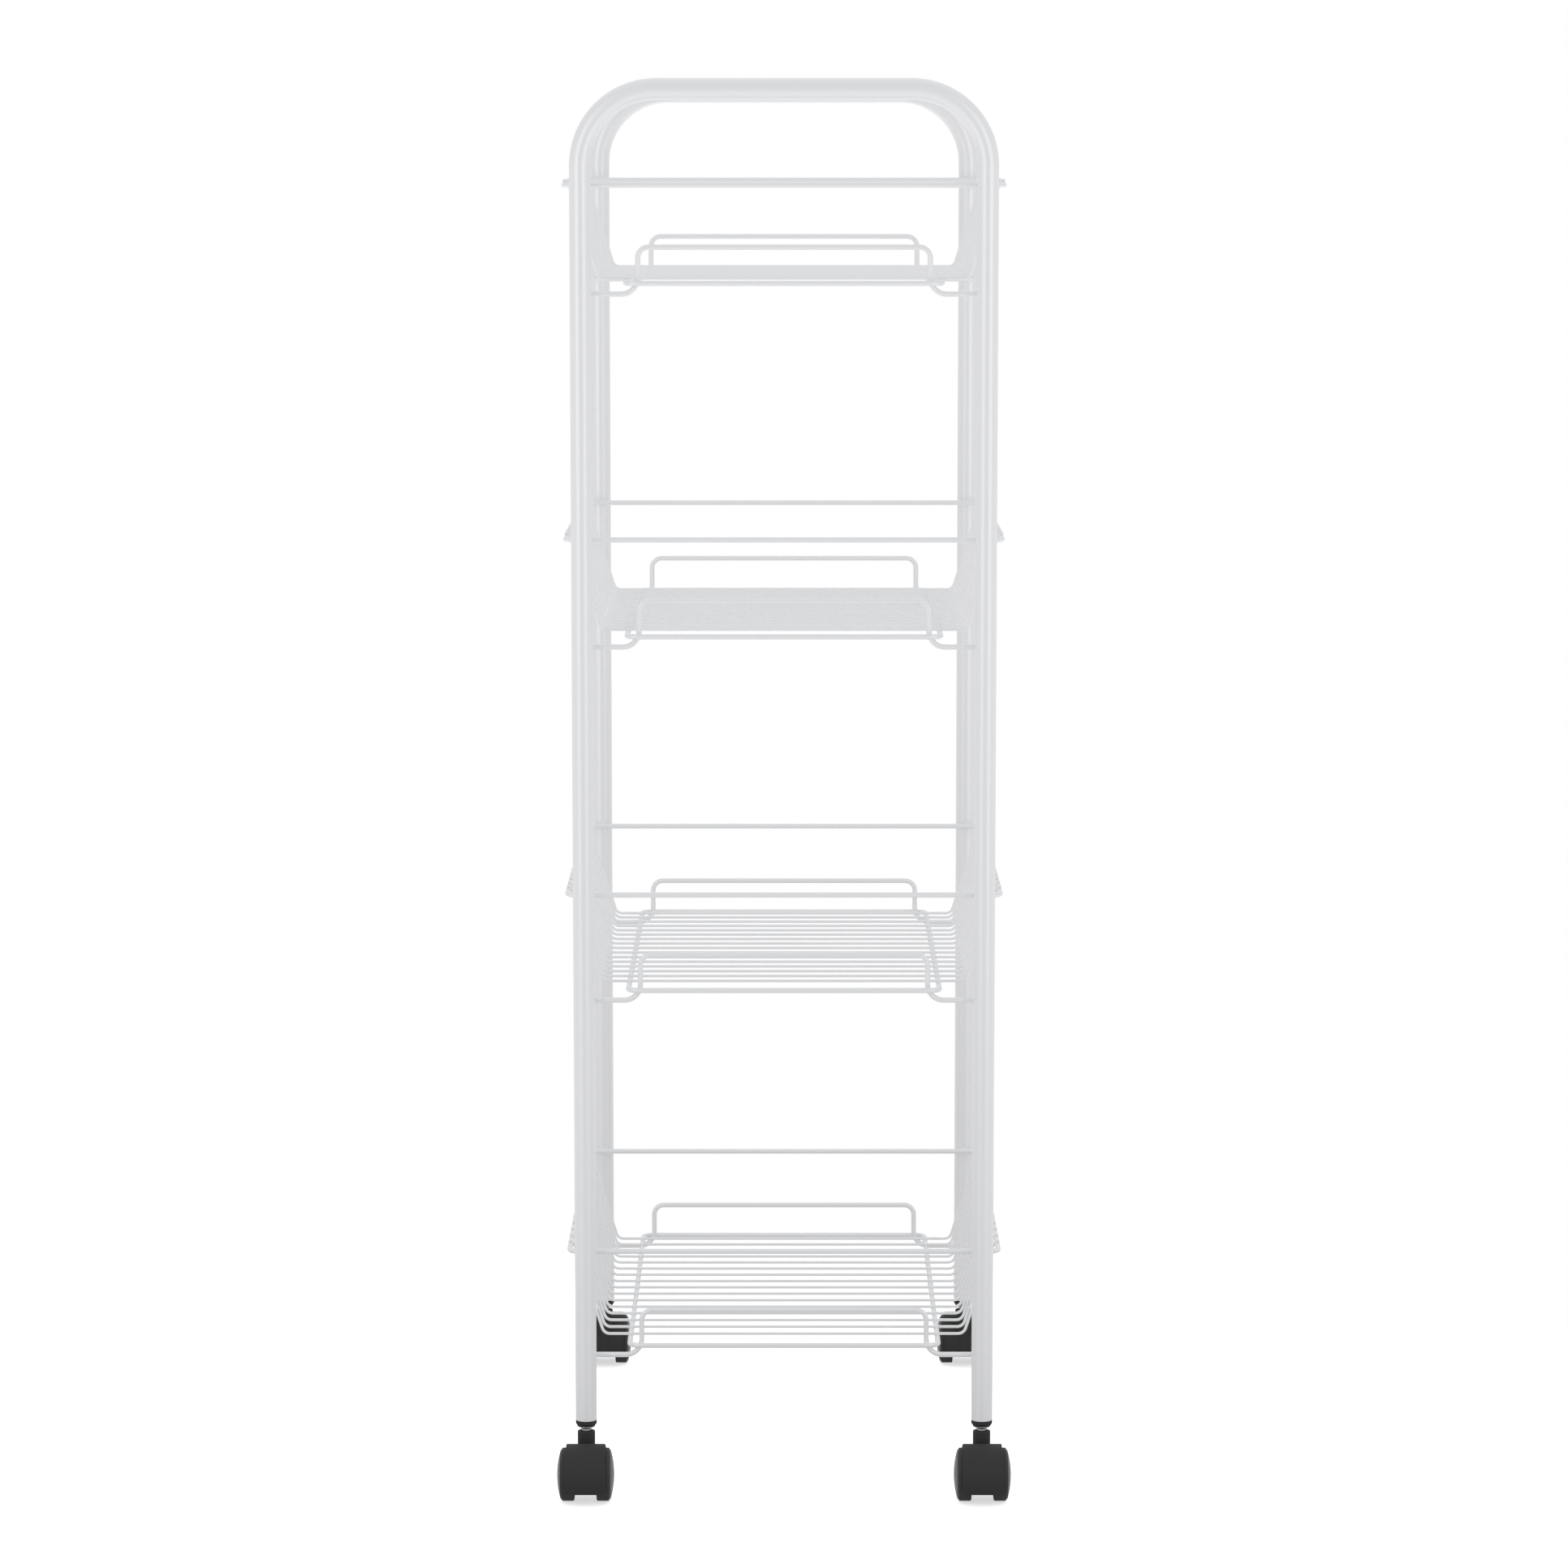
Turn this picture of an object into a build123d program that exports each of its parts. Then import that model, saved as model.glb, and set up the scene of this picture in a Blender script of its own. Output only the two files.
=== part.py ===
from build123d import *
import os
from math import asin, atan2, hypot, pi, tan

# Four-tier rolling wire trolley. X runs across, Y from the front to the back, Z up from the floor.
# The origin is on the floor, under the middle of the frame. All sizes are in millimetres.

# Arches: two steel tubes, each bent into an inverted U whose legs are the posts.
POST_X = 150.0
POST_Y = 197.0
TUBE_R = 8.0
TUBE_WALL = 1.0
ARCH_TOP_Z = 1058.0
ARCH_BEND_R = 56.0
TUBE_END_Z = 58.0

# Trays: four the same, from the top one down, measured up from the feet of their end rails. Where rods
# and wires are welded to each other or to a post, they sink into each other by WELD_SINK.
TRAY_FEET_Z = (908.0, 646.0, 379.0, 106.0)
ROD_R = 2.0
WIRE_R = 1.1
WELD_SINK = 0.2
WIRE_COUNT = 16
FIRST_WIRE_Y = 165.0
RAIL_Y = POST_Y - TUBE_R - ROD_R + WELD_SINK
RAIL_HEIGHT = 34.5
RAIL_LEG_X = 108.0
RAIL_FOOT_X = 155.0
RAIL_FOOT_BEND_R = 12.0
RAIL_CORNER_R = 8.0
BASE_HEIGHT = 8.0
BASE_X = 117.0
BASE_Y = RAIL_Y + 2 * ROD_R - WELD_SINK
RIM_HEIGHT = 80.0
RIM_X = 162.5
RIM_Y = RAIL_Y
RING_CORNER_R = 8.0
FLOOR_HEIGHT = BASE_HEIGHT + ROD_R + WIRE_R - WELD_SINK
FLOOR_X = 137.3
FLOOR_BEND_R = 6.0
HOOK_R = ROD_R + WIRE_R - WELD_SINK
HOOK_OVERHANG = 1.5

# Casters: a plug in the tube, a fixed stem, a hood that swivels on it and two wheels on one axle.
WHEEL_R = 20.0
WHEEL_INNER_X = 8.5
WHEEL_OUTER_X = 18.0
TREAD_DEPTH = 2.8
TREAD_EDGE = 1.0
WEB_X = 15.4
HUB_R = 5.0
DISC_R = 18.6
DISC_EDGE = 0.9
DISC_X = 21.6
TRAIL = 17.0
RUNNING_FIT = 0.05
AXLE_R = 2.5
AXLE_X = 17.6
AXLE_GROOVE = (12.2, 13.6, 2.1)
STEM_R = 3.7
STEM_BOTTOM_Z = 16.5
STEM_GROOVE = (20.0, 22.4, 3.1)
SNAP_PLAY = 0.2
SHANK_R = 4.0
SHANK_TOP_Z = 77.0
SHANK_CHAMFER = 0.8
FLANGE_R = 6.7
FLANGE_Z = (51.3, 52.9, 53.4)
PLUG_NOSE_R = 6.5
PLUG_TAPER_Z = 55.4
PLUG_TOP_Z = 80.0
PLUG_CORE_R = 6.3
PLUG_BARBS = 4
BARB_WIDTH = 2.4
HOOD_R = 22.8
HOOD_INNER_R = 20.8
HOOD_BOTTOM_Z = 9.0
HOOD_OUTLINE = ((15.5, HOOD_BOTTOM_Z), (15.9, 24.0), (14.6, 43.5))
HOOD_CORNER_R = 3.2
HOOD_WEB = 5.0
BOSS_R = 6.2
BOSS_X = 8.2
SOCKET_R = 6.65
SOCKET_Z = (13.0, 49.4)
SOCKET_MOUTH = (4.45, 1.0)
SOCKET_CHAMFER = 0.6
SOCKET_FLOOR_Z = STEM_BOTTOM_Z - 0.4


def bent_rod(points, bends, radius, bore=0.0):
    """A round rod or tube along an open line of points, with a bend radius at each inner point."""
    path = FilletPolyline(*points, radius=bends)
    section = Circle(radius) - Circle(bore) if bore else Circle(radius)
    rod = sweep(Plane(origin=path @ 0, z_dir=path % 0) * section, path=path)
    expected = pi * (radius**2 - bore**2) * path.length
    assert abs(rod.volume / expected - 1) < 1e-3, "the swept rod has lost volume"
    return rod.solid()


def ring(half_x, half_y, z):
    """A closed rounded rectangle of thick rod, lying flat at height z."""
    corners = [(half_x, half_y, z), (-half_x, half_y, z), (-half_x, -half_y, z), (half_x, -half_y, z)]
    path = FilletPolyline(*corners, radius=RING_CORNER_R, close=True)
    rod = sweep(Plane(origin=path @ 0, z_dir=path % 0) * Circle(ROD_R), path=path)
    assert abs(rod.volume / (pi * ROD_R**2 * path.length) - 1) < 1e-3, "the ring has lost volume"
    return rod.solid()


def turned(outline, axis):
    """A solid of revolution from (along the axis, radius) points, about Z or X through the origin."""
    if axis == "Z":
        face = make_face(Plane.XZ * Polyline(*[(r, a) for a, r in outline], close=True))
        return revolve(face, Axis.Z).solid()
    face = make_face(Plane.XZ * Polyline(*outline, close=True))
    return revolve(face, Axis.X).solid()


def arch(y):
    feet = [(-POST_X, y, TUBE_END_Z), (-POST_X, y, ARCH_TOP_Z), (POST_X, y, ARCH_TOP_Z), (POST_X, y, TUBE_END_Z)]
    return bent_rod(feet, ARCH_BEND_R, TUBE_R, TUBE_R - TUBE_WALL)


def end_rail(y, z):
    """The low guard at one end of a tray, with a foot running out to each post."""
    half = [(RAIL_FOOT_X, y, z), (RAIL_LEG_X, y, z), (RAIL_LEG_X, y, z + RAIL_HEIGHT)]
    mirrored = [(-x, py, pz) for x, py, pz in reversed(half)]
    bends = [RAIL_FOOT_BEND_R, RAIL_CORNER_R, RAIL_CORNER_R, RAIL_FOOT_BEND_R]
    return bent_rod(half + mirrored, bends, ROD_R)


def floor_wire(y, z):
    """One thin wire: the floor, a sloping wall at each end, and a hook over each side of the rim."""
    run, rise = RIM_X - FLOOR_X, RIM_HEIGHT - FLOOR_HEIGHT
    lean = atan2(run, rise) - asin(HOOK_R / hypot(run, rise))
    hook_z = RIM_HEIGHT + HOOK_R
    shoulder_x = FLOOR_X + (hook_z - FLOOR_HEIGHT) * tan(lean)
    half = [
        (RIM_X + HOOK_OVERHANG, y, z + hook_z),
        (shoulder_x, y, z + hook_z),
        (FLOOR_X, y, z + FLOOR_HEIGHT),
    ]
    mirrored = [(-x, py, pz) for x, py, pz in reversed(half)]
    return bent_rod(half + mirrored, [HOOK_R, FLOOR_BEND_R, FLOOR_BEND_R, HOOK_R], WIRE_R)


def floor_wires(z):
    step = 2 * FIRST_WIRE_Y / (WIRE_COUNT - 1)
    first = floor_wire(-FIRST_WIRE_Y, z)
    return Compound(children=[Pos(0, i * step, 0) * first for i in range(WIRE_COUNT)])


def grooved(start, end, radius, groove):
    """The outline of a pin from start to end with a snap groove cut round it."""
    low, high, bottom = groove
    return [(start, radius), (low, radius), (low, bottom), (high, bottom), (high, radius), (end, radius)]


def snap_bore(start, end, radius, groove):
    """The outline of a bore that runs on such a pin, with a rib that snaps into its groove."""
    low, high, bottom = groove
    rib = (low + SNAP_PLAY, high - SNAP_PLAY, bottom + RUNNING_FIT)
    return grooved(start, end, radius + RUNNING_FIT, rib)


def plug():
    """The black insert: a tapered collar under the tube's end and a barbed body inside the tube."""
    outline = [(FLANGE_Z[2], SHANK_R), (FLANGE_Z[2], PLUG_NOSE_R), (PLUG_TAPER_Z, TUBE_R), (TUBE_END_Z, TUBE_R)]
    inside_r = TUBE_R - TUBE_WALL
    gap = (PLUG_TOP_Z - TUBE_END_Z - PLUG_BARBS * BARB_WIDTH) / PLUG_BARBS
    for i in range(PLUG_BARBS):
        low = TUBE_END_Z + i * (BARB_WIDTH + gap)
        outline += [(low, inside_r), (low + BARB_WIDTH, inside_r)]
        outline += [(low + BARB_WIDTH, PLUG_CORE_R), (low + BARB_WIDTH + gap, PLUG_CORE_R)]
    outline += [(PLUG_TOP_Z, SHANK_R)]
    return turned(outline, "Z")


def stem():
    """The plated stem: swivel pin, coned flange under the plug and shank inside it."""
    neck_z, cone_z, flange_z = FLANGE_Z
    outline = [(STEM_BOTTOM_Z, 0.0)] + grooved(STEM_BOTTOM_Z, neck_z, STEM_R, STEM_GROOVE)
    outline += [(cone_z, FLANGE_R), (flange_z, FLANGE_R), (flange_z, SHANK_R)]
    outline += [(SHANK_TOP_Z - SHANK_CHAMFER, SHANK_R), (SHANK_TOP_Z, SHANK_R - SHANK_CHAMFER), (SHANK_TOP_Z, 0.0)]
    return turned(outline, "Z")


def hood():
    """The swivelling moulding: a cover over both wheels, a web between them, axle boss and stem socket."""
    at_axle = Plane.YZ * Pos(TRAIL, WHEEL_R)
    cover = extrude(at_axle * (Circle(HOOD_R) - Circle(HOOD_INNER_R)), HOOD_OUTLINE[1][0], both=True)
    corners = [*HOOD_OUTLINE, *[(-x, z) for x, z in reversed(HOOD_OUTLINE)]]
    face = make_face(Polyline(*corners, close=True))
    face = fillet(face.vertices().group_by(Axis.Y)[0], HOOD_CORNER_R)
    cover &= extrude(Plane.XZ * face, HOOD_R + TRAIL, both=True)
    web = extrude(at_axle * Circle((HOOD_R + HOOD_INNER_R) / 2), HOOD_WEB, both=True)
    web += extrude(at_axle * Circle(BOSS_R), BOSS_X, both=True)
    web -= Pos(0, TRAIL, HOOD_BOTTOM_Z - HOOD_R) * Box(4 * HOOD_R, 4 * HOOD_R, 2 * HOOD_R)
    low, high = SOCKET_Z
    socket = turned(
        [(low, 0.0), (low, SOCKET_R), (high - SOCKET_CHAMFER, SOCKET_R), (high, SOCKET_R - SOCKET_CHAMFER), (high, 0.0)],
        "Z",
    )
    mouth_r, mouth_depth = SOCKET_MOUTH
    bore = [(SOCKET_FLOOR_Z, 0.0)] + snap_bore(SOCKET_FLOOR_Z, high - mouth_depth, STEM_R, STEM_GROOVE)
    bore += [(high, mouth_r), (high + 1, mouth_r), (high + 1, 0.0)]
    moulding = cover + web + socket
    moulding -= turned(bore, "Z")
    moulding -= extrude(at_axle * Circle(AXLE_R), HOOD_R, both=True)
    return moulding.solid()


def axle():
    half = grooved(0.0, AXLE_X, AXLE_R, AXLE_GROOVE)
    outline = [(-a, r) for a, r in reversed(half[1:])] + half[1:]
    return Pos(0, TRAIL, WHEEL_R) * turned([(-AXLE_X, 0.0), *outline, (AXLE_X, 0.0)], "X")


def wheel():
    """The right-hand wheel: tread, web and hub in one moulding, bored to run on the axle."""
    rim_r = WHEEL_R - TREAD_DEPTH
    bore = snap_bore(WHEEL_INNER_X, WHEEL_OUTER_X, AXLE_R, AXLE_GROOVE)
    outline = bore + [
        (WHEEL_OUTER_X, WHEEL_R - TREAD_EDGE),
        (WHEEL_OUTER_X - TREAD_EDGE, WHEEL_R),
        (WHEEL_INNER_X + TREAD_EDGE, WHEEL_R),
        (WHEEL_INNER_X, WHEEL_R - TREAD_EDGE),
        (WHEEL_INNER_X, rim_r),
        (WEB_X, rim_r),
        (WEB_X, HUB_R),
        (WHEEL_INNER_X, HUB_R),
    ]
    return Pos(0, TRAIL, WHEEL_R) * turned(outline, "X")


def disc():
    """The domed cover on a wheel's outer face, closing its hub."""
    edge_x = WHEEL_OUTER_X + DISC_EDGE
    rise = DISC_X - edge_x
    dome_r = (DISC_R**2 + rise**2) / (2 * rise)
    with BuildLine(Plane.XZ) as outline:
        Polyline((DISC_X, 0), (WHEEL_OUTER_X, 0), (WHEEL_OUTER_X, DISC_R), (edge_x, DISC_R))
        RadiusArc((edge_x, DISC_R), (DISC_X, 0), dome_r)
    return Pos(0, TRAIL, WHEEL_R) * revolve(make_face(outline.line), Axis.X).solid()


def caster(corner):
    """All the pieces of one caster, by name. Front casters trail forward and rear ones backward."""
    side_y, side_x = corner.split("_")
    x = -POST_X if side_x == "left" else POST_X
    place = Pos(x, POST_Y, 0) if side_y == "rear" else Pos(x, -POST_Y, 0) * Rot(Z=180)
    pieces = {"plug": plug(), "stem": stem(), "hood": hood(), "axle": axle()}
    for name, piece in {"wheel": wheel(), "disc": disc()}.items():
        other = mirror(piece, Plane.YZ)
        pair = (other, piece) if side_y == "rear" else (piece, other)
        pieces["left_" + name], pieces["right_" + name] = pair
    return {f"{corner}_{name}": place * piece for name, piece in pieces.items()}


nodes = {"front_arch": arch(-POST_Y), "rear_arch": arch(POST_Y)}
for tray, foot_z in enumerate(TRAY_FEET_Z, start=1):
    name = f"tray_{tray}"
    nodes[f"{name}_rim_ring"] = ring(RIM_X, RIM_Y, foot_z + RIM_HEIGHT)
    nodes[f"{name}_base_ring"] = ring(BASE_X, BASE_Y, foot_z + BASE_HEIGHT)
    nodes[f"{name}_floor_wires"] = floor_wires(foot_z)
    nodes[f"{name}_front_rail"] = end_rail(-RAIL_Y, foot_z)
    nodes[f"{name}_rear_rail"] = end_rail(RAIL_Y, foot_z)
for corner in ("front_left", "front_right", "rear_left", "rear_right"):
    nodes.update(caster(corner))

os.makedirs("parts", exist_ok=True)
for name, piece in nodes.items():
    export_step(piece, f"parts/{name}.step")
print(len(nodes), "nodes")
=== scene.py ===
import math
import random

import bmesh
import bpy
from bpy.props import FloatProperty, FloatVectorProperty, IntProperty, PointerProperty
from bpy.types import Operator, Panel, PropertyGroup
from mathutils import Matrix, Vector, noise


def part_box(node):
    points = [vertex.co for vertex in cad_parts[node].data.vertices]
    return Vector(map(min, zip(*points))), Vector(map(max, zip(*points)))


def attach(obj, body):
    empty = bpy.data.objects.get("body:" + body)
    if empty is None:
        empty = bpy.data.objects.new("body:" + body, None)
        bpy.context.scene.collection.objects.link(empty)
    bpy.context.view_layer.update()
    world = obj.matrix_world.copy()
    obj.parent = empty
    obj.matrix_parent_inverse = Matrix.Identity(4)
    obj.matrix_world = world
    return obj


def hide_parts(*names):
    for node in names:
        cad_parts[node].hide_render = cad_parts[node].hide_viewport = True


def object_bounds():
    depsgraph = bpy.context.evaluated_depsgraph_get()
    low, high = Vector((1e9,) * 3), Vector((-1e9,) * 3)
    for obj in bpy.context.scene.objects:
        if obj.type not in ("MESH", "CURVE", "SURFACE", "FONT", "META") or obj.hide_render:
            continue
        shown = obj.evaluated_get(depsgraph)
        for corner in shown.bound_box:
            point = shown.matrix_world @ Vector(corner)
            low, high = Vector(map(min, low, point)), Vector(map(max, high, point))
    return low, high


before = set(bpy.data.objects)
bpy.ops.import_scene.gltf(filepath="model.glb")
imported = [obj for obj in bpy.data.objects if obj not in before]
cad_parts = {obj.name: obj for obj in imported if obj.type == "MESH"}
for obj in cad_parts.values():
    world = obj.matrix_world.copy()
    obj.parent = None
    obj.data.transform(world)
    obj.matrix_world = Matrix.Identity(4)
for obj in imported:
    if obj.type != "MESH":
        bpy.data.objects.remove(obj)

bl_info = {
    "name": "Rolling wire trolley",
    "version": (1, 0, 0),
    "blender": (4, 5, 0),
    "location": "3D View > Sidebar > Trolley",
    "description": "Builds the finished look of a four-tier wire trolley round its CAD frame",
    "category": "Object",
}

CAD_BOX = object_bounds()
MM = 0.001
CORNERS = ("front_left", "front_right", "rear_left", "rear_right")
TRAYS = tuple(f"tray_{number}" for number in range(1, 5))
ENDS = ("front", "rear")
SIDES = ("left", "right")
X, Y, Z = Vector((1, 0, 0)), Vector((0, 1, 0)), Vector((0, 0, 1))


# ---------------------------------------------------------------- reading the CAD frame

def middle(node):
    low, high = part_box(node)
    return (low + high) / 2


def half_size(node):
    low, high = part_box(node)
    return (high - low) / 2


# ---------------------------------------------------------------- sizes and colours

def length(name, millimetres, description):
    return FloatProperty(name=name, description=description, default=millimetres * MM, min=0.0,
                         precision=5, unit="LENGTH")


def share(name, value, description):
    return FloatProperty(name=name, description=description, default=value, min=0.0, max=1.0,
                         subtype="FACTOR")


def count(name, value, description):
    return IntProperty(name=name, description=description, default=value, min=3)


def colour(name, value, description):
    return FloatVectorProperty(name=name, description=description, default=value, size=3, min=0.0,
                               max=1.0, subtype="COLOR")


def strength(name, value, description):
    return FloatProperty(name=name, description=description, default=value, min=0.0)


class ArchSizes(PropertyGroup):
    tube_radius: length("Tube radius", half_size("front_arch").y / MM, "Outside radius of the tube")
    wall: length("Wall", 1.0, "Thickness of the tube's wall")
    lip: length("Lip", 0.25, "Rounding of the sawn ends")
    bend_radius: length("Bend radius", 56.0, "Radius of the two top bends, on the tube's centre line")
    bend_mark: length("Bend mark", 0.1, "How far the tube swells where a bend starts and ends")
    bend_mark_width: length("Bend mark width", 2.5, "Length of that swelling along the tube")
    bend_mark_reach: length("Bend mark reach", 7.5, "Distance from a bend over which it dies out")
    sides: count("Sides", 56, "Faces round the tube")
    steps: count("Bend steps", 28, "Stations along each bend")


class TraySizes(PropertyGroup):
    rod_radius: length("Rod radius", half_size("tray_1_base_ring").z / MM, "Radius of rings and rails")
    ring_corner: length("Ring corner", 8.0, "Bend radius at the rings' corners")
    leg_x: length("Rail leg", 108.0, "Distance of an end rail's legs from the middle")
    foot_bend: length("Foot bend", 12.0, "Bend radius between a rail's foot and leg")
    rail_corner: length("Rail corner", 8.0, "Bend radius at the top of an end rail")
    cut_edge: length("Cut edge", 0.35, "Rounding of cut rod and wire ends under the coating")
    butt_weld: length("Butt weld", 0.35, "How far the weld that closes a ring stands out")
    butt_weld_width: length("Butt weld width", 1.1, "Length of that weld along the rod")
    butt_weld_reach: length("Butt weld reach", 2.86, "Distance over which that weld dies out")
    butt_weld_offset: length("Butt weld offset", 11.0, "Distance of that weld from the side bar's middle")
    sides: count("Rod sides", 20, "Faces round a rod")
    steps: count("Rod bend steps", 9, "Stations along each bend of a rod")


class WireSizes(PropertyGroup):
    radius: length("Wire radius", 1.1, "Radius of the floor wires")
    wires: count("Wires", 16, "Floor wires in each tray")
    floor_x: length("Floor half width", 137.3, "From the middle to the corner of floor and wall")
    floor_bend: length("Floor bend", 6.0, "Bend radius between floor and wall")
    weld_sink: length("Weld sink", 0.2, "How far a wire sinks into a rod at a weld")
    wander: length("Wander", 0.22, "Largest offset of a wire from its even place")
    sides: count("Wire sides", 14, "Faces round a wire")
    steps: count("Wire bend steps", 7, "Stations along each bend of a wire")
    seed: IntProperty(name="Seed", description="Start of the wires' small offsets", default=11)


class WeldSizes(PropertyGroup):
    wire_spread: length("Wire weld spread", 1.75, "Half size of a weld between wire and rod")
    wire_rise: length("Wire weld rise", 0.95, "Half thickness of that weld")
    rod_spread: length("Rod weld spread", 2.5, "Half size of a weld between two rods")
    rod_rise: length("Rod weld rise", 1.3, "Half thickness of that weld")
    post_spread: length("Post weld spread", 3.7, "Half width of a weld between rod and post")
    post_height: length("Post weld height", 2.75, "Half height of that weld")
    post_rise: length("Post weld rise", 1.6, "Half thickness of that weld")
    lumps: share("Lumps", 0.14, "Unevenness of a weld, as a share of its size")
    seed: IntProperty(name="Seed", description="Start of the welds' unevenness", default=23)


class CasterSizes(PropertyGroup):
    wheel_radius: length("Wheel radius", 20.0, "From the axle to the floor")
    wheel_inner_x: length("Wheel inner face", 8.5, "From the caster's middle to the wheel's inner face")
    wheel_outer_x: length("Wheel outer face", 18.0, "From the caster's middle to the wheel's outer face")
    tread_depth: length("Tread depth", 2.8, "Thickness of the tread ring")
    tread_edge: length("Tread edge", 1.0, "Rounding of the tread's edges")
    web_x: length("Web", 15.4, "From the caster's middle to the wheel's web")
    hub_radius: length("Hub radius", 5.0, "Outside radius of the wheel's hub")
    ribs: count("Ribs", 8, "Ribs on the inner side of a wheel")
    rib_width: length("Rib width", 1.2, "Thickness of a rib")
    disc_radius: length("Disc radius", 18.6, "Radius of the cover disc")
    disc_edge: length("Disc edge", 0.9, "Height of the disc's edge over the wheel")
    disc_crown_x: length("Disc crown", 21.6, "From the caster's middle to the dome's top")
    disc_lip: length("Disc lip", 0.3, "Rounding of the disc's edge")
    disc_groove_radius: length("Disc groove", 17.1, "Radius of the fine groove near the disc's edge")
    disc_groove_width: length("Disc groove width", 0.28, "Half width of that groove")
    disc_groove_depth: length("Disc groove depth", 0.22, "Depth of that groove")
    axle_radius: length("Axle radius", 2.5, "Radius of the axle")
    axle_groove_x: length("Axle groove", 12.2, "From the caster's middle to a snap groove of the axle")
    axle_groove_width: length("Axle groove width", 1.4, "Width of that groove")
    axle_groove_depth: length("Axle groove depth", 0.4, "Depth of that groove")
    stem_radius: length("Stem radius", 3.7, "Radius of the swivel pin")
    stem_groove_rise: length("Stem groove rise", 3.5, "From the pin's lower end to its snap groove")
    stem_groove_width: length("Stem groove width", 2.4, "Width of that groove")
    stem_groove_depth: length("Stem groove depth", 0.6, "Depth of that groove")
    shank_radius: length("Shank radius", 4.0, "Radius of the shank in the plug")
    flange_radius: length("Flange radius", 6.7, "Radius of the coned flange")
    flange_cone: length("Flange cone", 1.6, "Height of the flange's cone")
    flange_edge: length("Flange edge", 0.5, "Height of the flange's straight edge")
    collar_z: length("Collar foot", 53.4, "Height of the plug collar's lower face")
    collar_taper: length("Collar taper", 2.0, "Height of the collar's taper")
    collar_nose: length("Collar nose", 6.5, "Radius of the collar's lower face")
    core_radius: length("Plug core", 6.3, "Radius of the plug between its barbs")
    barbs: count("Barbs", 4, "Barbs of the plug")
    barb_width: length("Barb width", 2.4, "Height of each barb of the plug")
    hood_radius: length("Hood radius", 22.8, "Outside radius of the hood round the axle")
    hood_wall: length("Hood wall", 2.0, "Thickness of the hood")
    hood_foot_z: length("Hood foot", 9.0, "Height of the hood's lower edge")
    hood_foot_x: length("Hood foot width", 15.5, "Half width of the hood at its lower edge")
    hood_middle_z: length("Hood middle", 24.0, "Height of the hood's widest place")
    hood_middle_x: length("Hood middle width", 15.9, "Half width of the hood there")
    hood_top_z: length("Hood top", 43.5, "Height up to which the hood narrows")
    hood_top_x: length("Hood top width", 14.6, "Half width of the hood at its top")
    hood_corner: length("Hood corner", 3.2, "Corner radius of the hood's lower edge")
    hood_edge: length("Hood edge", 0.55, "Rounding of the hood's edges")
    hood_web: length("Hood web", 5.0, "Half thickness of the web between the wheels")
    boss_radius: length("Boss radius", 6.2, "Radius of the axle boss")
    boss_x: length("Boss half length", 8.2, "Half length of the axle boss")
    socket_radius: length("Socket radius", 6.65, "Outside radius of the stem socket")
    socket_foot_z: length("Socket foot", 13.0, "Height of the socket's lower end")
    socket_top_z: length("Socket top", 49.4, "Height of the socket's upper face")
    socket_bore: length("Socket bore", 3.75, "Radius of the socket's bore")
    socket_mouth: length("Socket mouth", 4.45, "Radius of the countersunk mouth")
    socket_sink: length("Socket sink", 1.0, "Depth of the countersunk mouth")
    sides: count("Turned sides", 72, "Faces round a turned piece")


class Finishes(PropertyGroup):
    coat: colour("Powder coat", (0.80, 0.80, 0.805), "White powder coat on tube, rod and wire")
    coat_shade: colour("Powder coat shade", (0.755, 0.757, 0.765), "Thinner places of the coat")
    coat_roughness: share("Coat roughness", 0.24, "Roughness of the powder coat")
    plastic: colour("Plug plastic", (0.016, 0.016, 0.017), "Satin black of the plugs")
    plating: colour("Plating", (0.80, 0.81, 0.82), "Bright plating of the stems")
    hood: colour("Hood plastic", (0.009, 0.009, 0.0098), "Matte black of the hoods")
    hood_dust: colour("Hood bloom", (0.027, 0.027, 0.029), "Paler bloom on the hoods' grain")
    steel: colour("Axle steel", (0.52, 0.52, 0.53), "Drawn steel of the axles")
    wheel: colour("Wheel plastic", (0.034, 0.034, 0.037), "Dark grey of the wheels")
    # Pale patches on the treads: partly real dust, partly painted light standing in for light the bright
    # floor throws onto the treads.
    wheel_dust_and_floor_light: colour("Wheel dust", (0.20, 0.197, 0.19), "Dust worked into the treads")
    disc: colour("Disc plastic", (0.036, 0.037, 0.040), "Dark grey of the cover discs")
    disc_fleck: colour("Disc fleck", (0.30, 0.30, 0.31), "Pale flecks in the cover discs")


class StageSettings(PropertyGroup):
    camera_distance: length("Camera distance", 3700.0, "From the front posts to the camera")
    camera_height: length("Camera height", 1028.0, "Height of the camera over the floor")
    camera_pitch: FloatProperty(name="Camera pitch", description="How far the camera looks down",
                                default=0.130, unit="ROTATION")
    lens: FloatProperty(name="Lens", description="Focal length in millimetres", default=114.8)
    floor: colour("Floor", (1.0, 1.0, 1.0), "Pale floor as it is seen")
    floor_bounce: colour("Floor bounce", (0.44, 0.44, 0.44), "Pale floor as the trolley's light meets it")
    floor_lift: strength("Floor lift", 0.6, "Light that the floor gives off where it is seen")
    floor_glow: colour("Floor glow", (0.45, 0.45, 0.45), "The part of that light that reaches the trolley")
    floor_radius: length("Floor radius", 850.0, "Where the floor has faded out")
    fill: strength("Fill", 0.54, "Even light from all round")
    fill_above: strength("Fill above", 0.24, "Even light that is added above")
    fill_below: strength("Fill below", 0.56, "Even light that is added below")
    fill_behind: strength("Fill behind", 0.26, "Light that gloss mirrors from behind the trolley")
    overhead: strength("Overhead", 1.2, "Power of the soft box above, in watts")
    side: strength("Side", 1.0, "Power of each soft box at the side, in watts")
    strip: strength("Strip", 8.0, "Power of each tall strip beside the camera, in watts")


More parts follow.
